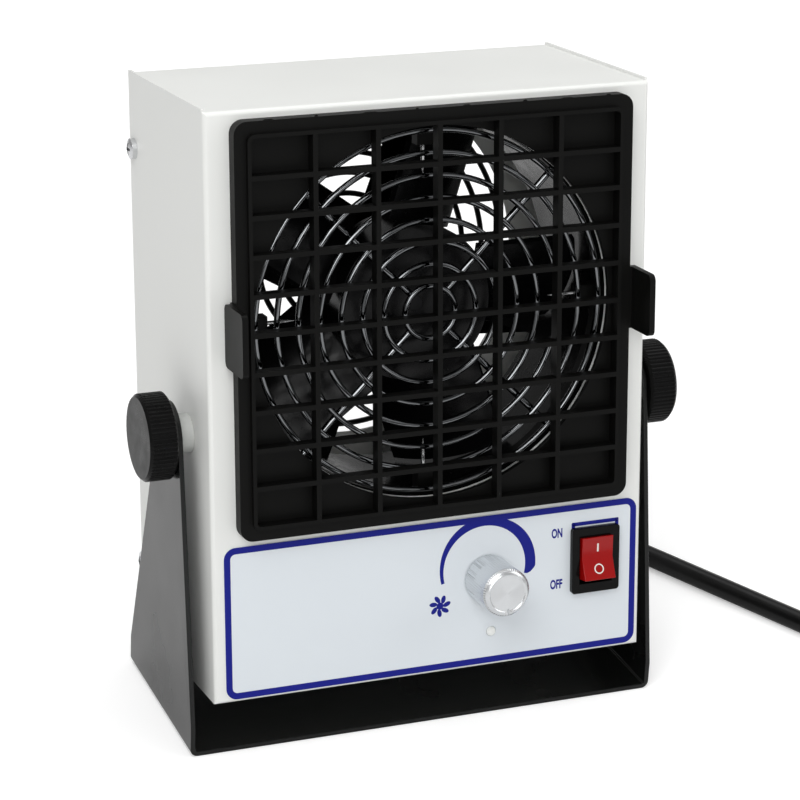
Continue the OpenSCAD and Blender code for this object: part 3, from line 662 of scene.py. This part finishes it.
def grooved_tube(name, path, radius):
    """A tube along a path, with the shallow groove that runs along the top of such a jacket."""
    section = bpy.data.curves.new("section", "CURVE")
    section.dimensions = "2D"
    spline = section.splines.new("POLY")
    spokes = 24
    spline.points.add(spokes - 1)
    for k, point in enumerate(spline.points):
        angle = math.tau * k / spokes
        dent = 0.16 * math.exp(-((math.remainder(angle - 2.0, math.tau) / 0.2) ** 2))
        point.co = (radius * (1 - dent) * math.cos(angle), radius * (1 - dent) * math.sin(angle), 0, 1)
    spline.use_cyclic_u = True
    profile = bpy.data.objects.new("section", section)
    bpy.context.scene.collection.objects.link(profile)
    curve = bpy.data.curves.new("route", "CURVE")
    curve.dimensions = "3D"
    curve.twist_mode = "Z_UP"
    curve.bevel_mode = "OBJECT"
    curve.bevel_object = profile
    curve.use_fill_caps = True
    line = curve.splines.new("POLY")
    line.points.add(len(path) - 1)
    for point, place in zip(line.points, path):
        point.co = (*place, 1)
    holder = bpy.data.objects.new("route", curve)
    bpy.context.scene.collection.objects.link(holder)
    bpy.context.view_layer.update()
    mesh = bpy.data.meshes.new_from_object(holder.evaluated_get(bpy.context.evaluated_depsgraph_get()))
    for thing in (holder, profile):
        bpy.data.objects.remove(thing)
    bm = bmesh.new()
    bm.from_mesh(mesh)
    bpy.data.meshes.remove(mesh)
    return closed(bm, name, METRES)


class BLOWER_OT_stage(bpy.types.Operator):
    """Sets the pale floor, the soft studio light and the camera"""

    bl_idname = "blower.stage"
    bl_label = "Stage"

    def execute(self, context):
        scene = context.scene
        scene.view_settings.view_transform = "Standard"

        camera = bpy.data.objects.new("camera", bpy.data.cameras.new("camera"))
        scene.collection.objects.link(camera)
        scene.camera = camera
        ahead = Vector(CAMERA_AHEAD).normalized()
        side = ahead.cross(Vector(CAMERA_UP)).normalized()
        up = side.cross(ahead)
        camera.matrix_world = Matrix.Translation(CAMERA_PLACE) @ Matrix(
            (side, up, -ahead)).transposed().to_4x4()
        camera.data.lens = CAMERA_LENS
        camera.data.sensor_width = CAMERA_SENSOR
        camera.data.clip_start = 0.05

        for name, place, size, power in LAMPS:
            lamp = bpy.data.lights.new(name, "AREA")
            lamp.shape = "SQUARE"
            lamp.size = size
            lamp.energy = power
            holder = bpy.data.objects.new(name, lamp)
            scene.collection.objects.link(holder)
            holder.location = place
            holder.rotation_euler = (Vector(AIM) - Vector(place)).to_track_quat("-Z", "Y").to_euler()

        # the world lights softly, and is white where the camera sees it, directly or through clear parts
        world = bpy.data.worlds.new("studio")
        scene.world = world
        world.use_nodes = True
        tree = world.node_tree
        tree.nodes.clear()
        path = add(tree, "ShaderNodeLightPath")
        seen = add(tree, "ShaderNodeMath", {0: path.outputs["Is Camera Ray"],
                                            1: path.outputs["Is Transmission Ray"]}, operation="MAXIMUM")
        soft = add(tree, "ShaderNodeBackground", {"Color": (1, 1, 1, 1), "Strength": 0.36})
        white = add(tree, "ShaderNodeBackground", {"Color": (1, 1, 1, 1), "Strength": 1.0})
        both = add(tree, "ShaderNodeMixShader", {
            0: seen.outputs[0], 1: soft.outputs[0], 2: white.outputs[0]})
        add(tree, "ShaderNodeOutputWorld", {"Surface": both.outputs[0]})

        bm = bmesh.new()
        bmesh.ops.create_grid(bm, x_segments=8, y_segments=8, size=3.0)
        bmesh.ops.translate(bm, vec=(0, 0, -0.0001), verts=bm.verts)
        mesh = bpy.data.meshes.new("floor")
        bm.to_mesh(mesh)
        bm.free()
        floor = bpy.data.objects.new("floor", mesh)
        scene.collection.objects.link(floor)
        paper = bpy.data.materials.new("white_paper")
        paper.use_nodes = True
        tree = paper.node_tree
        tree.nodes.clear()
        path = add(tree, "ShaderNodeLightPath")
        matte = add(tree, "ShaderNodeBsdfDiffuse", {"Color": (0.86, 0.86, 0.86, 1), "Roughness": 0.5})
        # the floor whitens away from the blower, so that it has no edge from any side
        place = add(tree, "ShaderNodeTexCoord").outputs["Object"]
        away = add(tree, "ShaderNodeVectorMath", {0: place}, operation="LENGTH").outputs["Value"]
        lift = add(tree, "ShaderNodeMapRange", {
            "Value": away, "From Min": 0.45, "From Max": 1.8, "To Min": 0.27, "To Max": 0.95})
        glow = add(tree, "ShaderNodeEmission", {"Color": (1, 1, 1, 1), "Strength": lift.outputs["Result"]})
        none = add(tree, "ShaderNodeEmission", {"Strength": 0.0})
        shown = add(tree, "ShaderNodeMixShader", {
            0: path.outputs["Is Camera Ray"], 1: none.outputs[0], 2: glow.outputs[0]})
        total = add(tree, "ShaderNodeAddShader", {0: matte.outputs[0], 1: shown.outputs[0]})
        add(tree, "ShaderNodeOutputMaterial", {"Surface": total.outputs[0]})
        mesh.materials.append(paper)
        return {"FINISHED"}


class BLOWER_OT_lead(bpy.types.Operator):
    """Makes the mains lead, its strain relief and its plug"""

    bl_idname = "blower.lead"
    bl_label = "Mains lead"

    def execute(self, context):
        sizes = context.scene.blower_sizes
        millimetres = lead_path()
        radius = sizes.cord_diameter * 500
        mesh = grooved_tube("mains_lead", millimetres, radius)
        lead = piece("mains_lead", mesh, None, pvc(),
                     ("cord_drop", "cord_run", "cord_coil", "cord_tail"))
        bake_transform(lead)

        # strain relief: flange, taper with ribs, open end round the lead
        start, end = BACK + 2, BACK + RELIEF_LENGTH
        profile = [(0, BACK - 4), (7.4, BACK - 4), (7.4, BACK - 1), (5, BACK - 1), (5, BACK), (7.2, BACK),
                   (7.6, BACK + 0.4), (7.6, BACK + 1.5), (7.1, BACK + 2), (6.6, BACK + 2)]
        pitch = (end - start - 3) / sizes.relief_ribs
        for k in range(sizes.relief_ribs):
            low = start + 1.5 + k * pitch
            wide = 6.5 - 2.1 * (k / sizes.relief_ribs)
            profile += [(wide, low), (wide - 0.9, low + 0.5),
                        (wide - 0.95, low + 1.5), (wide - 0.2, low + 2)]
        profile += [(4.45, end - 0.6), (4.2, end), (0, end)]
        bm = spun(profile, 64)
        mesh = closed(bm, "ribbed_strain_relief",
                      IN_BOX @ Matrix.Translation((RELIEF[0], 0, RELIEF[1])) @ FACING_BACK)
        piece("ribbed_strain_relief", mesh, "housing", moulded_pvc(), ("strain_relief",))

        # plug: ribbed neck and a moulded body with rounded edges
        neck = [(0, 0), (3.9, 0), (4.2, 0.4)]
        for k in range(NECK_RIBS):
            low = 2 + k * NECK_PITCH
            wide = 4.3 + 1.6 * k / NECK_RIBS
            neck += [(wide, low), (wide - 0.6, low + 0.4),
                     (wide - 0.6, low + 1.2), (wide + 0.2, low + 1.6)]
        neck += [(6.1, PLUG_NECK + 2), (0, PLUG_NECK + 2)]
        bm = spun(neck, 48)
        bmesh.ops.transform(bm, matrix=FACING_BACK, verts=bm.verts)
        block = bmesh.ops.create_cube(bm, size=1.0)["verts"]
        bmesh.ops.scale(bm, vec=PLUG_SIZE, verts=block)
        bmesh.ops.translate(bm, vec=(0, PLUG_NECK + PLUG_SIZE[1] / 2, 0), verts=block)
        rear = [v for v in block if v.co.y < PLUG_NECK + 1]
        bmesh.ops.scale(bm, vec=(0.82, 1, 0.86), verts=rear)
        edges = {e for v in block for e in v.link_edges}
        bmesh.ops.bevel(bm, geom=list(edges), offset=PLUG_ROUND, offset_type="OFFSET", segments=5,
                        profile=0.5, affect="EDGES", material=-1)
        mesh = closed(bm, "moulded_plug", AT_PLUG)
        plug = piece("moulded_plug", mesh, "stand", moulded_pvc(), ("plug_body",))
        pins = refined("plug_pins", "plug_blades", brass(), 0.00025)

        return {"FINISHED"}


class BLOWER_OT_stand(bpy.types.Operator):
    """Finishes the bent stand, the tilt knobs and their studs"""

    bl_idname = "blower.stand"
    bl_label = "Stand and tilt knobs"

    def execute(self, context):
        sizes = context.scene.blower_sizes
        refined("bracket", "bent_stand", stoved_enamel(), sizes.edge_round, 3)
        for side in ("left", "right"):
            refined(f"tilt_knob_{side}", f"knurled_knob_{side}", phenolic(), 0.00012)
            refined(f"tilt_stud_{side}", f"threaded_stud_{side}", zinc_steel(), 0.0002)
        return {"FINISHED"}


class BLOWER_OT_housing(bpy.types.Operator):
    """Finishes the sheet-metal box, its screws and the pivot's pieces"""

    bl_idname = "blower.housing"
    bl_label = "Housing"

    def execute(self, context):
        sizes = context.scene.blower_sizes
        refined("front_housing", "housing_shell", powder_coat(), sizes.edge_round)
        refined("rear_cover", "back_panel", powder_coat(), sizes.edge_round)
        refined("housing_screws", "side_screws", chromed_steel(), 0.0001)
        refined("spacers", "pivot_spacers", grey_nylon(), 0.0003)
        refined("pivot_inserts", "pivot_nuts", zinc_steel(), 0.0002)
        return {"FINISHED"}


class BLOWER_OT_filter(bpy.types.Operator):
    """Makes the filter cover with its grid, and the base frame behind it"""

    bl_idname = "blower.filter"
    bl_label = "Filter cover"

    def execute(self, context):
        sizes = context.scene.blower_sizes
        refined("filter_cover", "grille_cover", textured_abs(), sizes.moulded_round)
        refined("filter_base", "filter_frame", textured_abs(), sizes.moulded_round)

        # thin flash left by the mould along the cover's top edge
        bm = bmesh.new()
        top = FAN_HEIGHT + COVER_WIDTH / 2
        for x, long, high in FLASH:
            made = bmesh.ops.create_cube(bm, size=1.0)["verts"]
            bmesh.ops.scale(bm, vec=(long, 0.25, high), verts=made)
            tips = [v for v in made if v.co.z > 0]
            bmesh.ops.scale(bm, vec=(0.55, 0.4, 1), verts=tips)
            bmesh.ops.translate(bm, vec=(x, -COVER_FRONT + 0.35, top + high / 2 - 0.02), verts=made)
        mesh = closed(bm, "mould_flash", IN_BOX)
        piece("mould_flash", mesh, "cover", textured_abs())
        return {"FINISHED"}


class BLOWER_OT_fan(bpy.types.Operator):
    """Finishes the wire guards, the fan and the ionizing frame"""

    bl_idname = "blower.fan"
    bl_label = "Guards, fan and ionizer"

    def execute(self, context):
        sizes = context.scene.blower_sizes
        refined("front_guard", "finger_guard", chromed_wire())
        refined("rear_guard", "back_guard", painted_wire())
        refined("fan_frame", "fan_body", glossy_pbt(), sizes.moulded_round)
        refined("impeller", "fan_wheel", glossy_pbt(), 0.0003)
        refined("fan_motor", "motor_can", phenolic(), 0.0003)
        refined("fan_shaft", "steel_shaft", oiled_steel(), 0.0002)
        refined("fan_screws", "guard_screws", zinc_steel(), 0.0001)
        refined("emitter_frame", "emitter_ring", textured_abs(), sizes.moulded_round)
        refined("emitter_needles", "emitter_points", bare_steel())
        return {"FINISHED"}


class BLOWER_OT_insides(bpy.types.Operator):
    """Finishes the high-voltage module, the board and the other pieces inside the box"""

    bl_idname = "blower.insides"
    bl_label = "Insides"

    def execute(self, context):
        refined("high_voltage_module", "potted_module", epoxy_potting(), 0.0008, 3)
        refined("control_board", "board", solder_mask(), 0.0002)
        refined("board_standoffs", "standoffs", brass(), 0.0002)
        refined("potentiometer", "speed_control", case_steel(), 0.0003)
        refined("pot_nut", "control_nut", zinc_steel(), 0.0002)
        refined("pot_shaft", "control_shaft", bare_steel(), 0.0002)
        refined("switch_terminals", "switch_tabs", brass(), 0.0001)
        return {"FINISHED"}


class BLOWER_OT_controls(bpy.types.Operator):
    """Makes the speed knob, the power switch and the lamp"""

    bl_idname = "blower.controls"
    bl_label = "Controls"

    def execute(self, context):
        knob_centre = IN_BOX @ Vector((DIAL[0], 0, DIAL[1]))
        ahead = (IN_BOX.to_3x3() @ Vector((0, -1, 0))).normalized()
        spun_finish = spun_metal("lathe_turned_aluminium", linear("e3e5e7"), 0.24, knob_centre, ahead,
                                 (math.radians(-90 + LEAN), 0, 0), DIAL_FLUTES, DIAL_FACE / 1000)
        refined("speed_knob", "turned_knob", spun_finish, 0.00012)
        refined("switch_body", "switch_bezel", gloss_nylon(), 0.0005, 4)
        refined("rocker", "switch_rocker", tinted_polycarbonate(), 0.0006, 4)

        # marks on the rocker's two faces, in its own turned frame
        rocker = (IN_BOX @ Matrix.Translation((SWITCH[0], ROCKER_PIN_DEPTH, SWITCH[1]))
                  @ Matrix.Rotation(math.radians(-ROCKER_SWING), 4, "X"))
        slope = math.atan2(ROCKER_FALL, ROCKER_HALF)
        for name, side in (("rocker_mark_on", 1), ("rocker_mark_off", -1)):
            bm = bmesh.new()
            if side > 0:
                face = rounded_face(bm, 0.55, 2.7, 0.15)
                thickened(bm, [face], MARK_HEIGHT)
            else:
                outer = bmesh.ops.create_circle(bm, cap_ends=True, radius=1.6, segments=32)["verts"]
                face = outer[0].link_faces[0]
                ring = bmesh.ops.inset_region(bm, faces=[face], thickness=0.38, use_boundary=True,
                                              use_even_offset=True)["faces"]
                bmesh.ops.delete(bm, geom=[face], context="FACES_ONLY")
                thickened(bm, ring, MARK_HEIGHT)
            middle = (0, -ROCKER_FRONT - ROCKER_FALL / 2 - 0.02, side * ROCKER_HALF / 2)
            mesh = closed(bm, name, rocker @ Matrix.Translation(middle)
                          @ Matrix.Rotation(side * slope, 4, "X") @ FACING_FRONT)
            piece(name, mesh, "switch", white_ink())

        # lamp: domed lens with a small flange behind the panel
        bm = spun([(0, -4), (1.5, -4), (1.5, -2.2), (1.9, -2.2), (1.9, -1), (1.5, -1), (1.5, 0.45),
                   (1.42, 0.72), (1.15, 0.98), (0.75, 1.13), (0.35, 1.19), (0, 1.2)], 32)
        mesh = closed(bm, "lamp_lens", IN_BOX @ Matrix.Translation((LAMP[0], 0, LAMP[1])) @ FACING_FRONT)
        piece("lamp_lens", mesh, "housing", lamp_lens(), ("lamp",))
        return {"FINISHED"}


class BLOWER_OT_label(bpy.types.Operator):
    """Makes the control label and what is printed on it"""

    bl_idname = "blower.label"
    bl_label = "Control label"

    def execute(self, context):
        sizes = context.scene.blower_sizes
        refined("control_label", "label_film", label_film(), 0.00008)
        height = sizes.print_height * 1000
        lift = LABEL_THICK

        def printed(name, bm, faces, share=1.0):
            thickened(bm, faces, height * share)
            mesh = closed(bm, name, IN_BOX @ FACING_FRONT)
            return piece(name, mesh, "housing", screen_ink())

        bm = bmesh.new()
        printed("print_border", bm, outline(bm, LABEL_SIZE[0], LABEL_SIZE[1], LABEL_CORNER,
                                            sizes.border_width * 1000, LABEL_CENTRE, lift))
        bm = bmesh.new()
        printed("print_switch_outline", bm, outline(bm, *SWITCH_PRINT_SIZE, 0.3, SWITCH_PRINT_WIDTH,
                                                   SWITCH_PRINT, lift))

        # crescent round the speed knob, growing from a thin left end to a broad right end; its top
        # meets the border, so it's printed a little thicker
        bm = bmesh.new()
        span = 180 + 2 * SCALE_PAST
        start = Vector((math.cos(math.radians(-SCALE_PAST)), math.sin(math.radians(-SCALE_PAST)), 0))
        inner, outer = (bm.verts.new(start * r + Vector((0, 0, lift)))
                        for r in (SCALE_RADIUS, SCALE_RADIUS + 1))
        edge = bm.edges.new((inner, outer))
        bmesh.ops.spin(bm, geom=[inner, outer, edge], cent=(0, 0, 0), axis=(0, 0, 1),
                       angle=math.radians(span), steps=84)
        for vert in bm.verts:
            flat = vert.co.xy
            if flat.length > SCALE_RADIUS + 0.5:
                turned = (math.degrees(math.atan2(flat.y, flat.x)) + SCALE_PAST) % 360
                share = 1 - turned / span
                wide = (1.1 + 1.6 * ease(share, 0.0, 0.5) + 0.75 * ease(share, 0.5, 0.85)
                        - 1.6 * ease(share, 0.95, 1.0))
                vert.co.xy = flat.normalized() * (SCALE_RADIUS + wide)
        bmesh.ops.translate(bm, vec=(*SCALE_PRINT, 0), verts=bm.verts)
        printed("print_speed_scale", bm, list(bm.faces), 1.25)

        # small fan sign: seven petals round a dot
        bm = bmesh.new()
        for k in range(SIGN_PETALS):
            made = bmesh.ops.create_circle(bm, cap_ends=True, radius=1.0, segments=24)["verts"]
            bmesh.ops.scale(bm, vec=(*SIGN_PETAL_SIZE, 1), verts=made)
            turn = (Matrix.Translation((*SIGN_PRINT, lift))
                    @ Matrix.Rotation(math.tau * k / SIGN_PETALS, 4, "Z")
                    @ Matrix.Translation((*SIGN_PETAL_PLACE, 0))
                    @ Matrix.Rotation(math.radians(SIGN_TWIST), 4, "Z"))
            bmesh.ops.transform(bm, matrix=turn, verts=made)
        made = bmesh.ops.create_circle(bm, cap_ends=True, radius=SIGN_DOT, segments=20)["verts"]
        bmesh.ops.translate(bm, vec=(*SIGN_PRINT, lift), verts=made)
        printed("print_fan_sign", bm, list(bm.faces))

        for name, words, centre in WORDS:
            bm = bmesh.new()
            lettering(bm, words, CAP_HEIGHT, centre, lift)
            printed(name, bm, list(bm.faces))
        return {"FINISHED"}


class BLOWER_PT_panel(bpy.types.Panel):
    """Lists the blower's pieces, sizes and colours"""

    bl_idname = "BLOWER_PT_panel"
    bl_label = "Ionizing blower"
    bl_space_type = "VIEW_3D"
    bl_region_type = "UI"
    bl_category = "Blower"

    def draw(self, context):
        layout = self.layout
        for group in (context.scene.blower_sizes, context.scene.blower_colours):
            box = layout.box()
            for key in group.bl_rna.properties.keys():
                if key not in {"rna_type", "name"}:
                    box.prop(group, key)
        for operator in OPERATORS:
            layout.operator(operator.bl_idname)


OPERATORS = (
    BLOWER_OT_stage, BLOWER_OT_lead, BLOWER_OT_stand, BLOWER_OT_housing, BLOWER_OT_filter, BLOWER_OT_fan,
    BLOWER_OT_insides, BLOWER_OT_controls, BLOWER_OT_label,
)
CLASSES = (BlowerSizes, BlowerColours, *OPERATORS, BLOWER_PT_panel)


def register():
    for cls in CLASSES:
        bpy.utils.register_class(cls)
    bpy.types.Scene.blower_sizes = bpy.props.PointerProperty(type=BlowerSizes)
    bpy.types.Scene.blower_colours = bpy.props.PointerProperty(type=BlowerColours)


def unregister():
    del bpy.types.Scene.blower_colours
    del bpy.types.Scene.blower_sizes
    for cls in reversed(CLASSES):
        bpy.utils.unregister_class(cls)


def main():
    register()
    for operator in OPERATORS:
        family, name = operator.bl_idname.split(".")
        getattr(getattr(bpy.ops, family), name)()


if __name__ == "__main__":
    main()
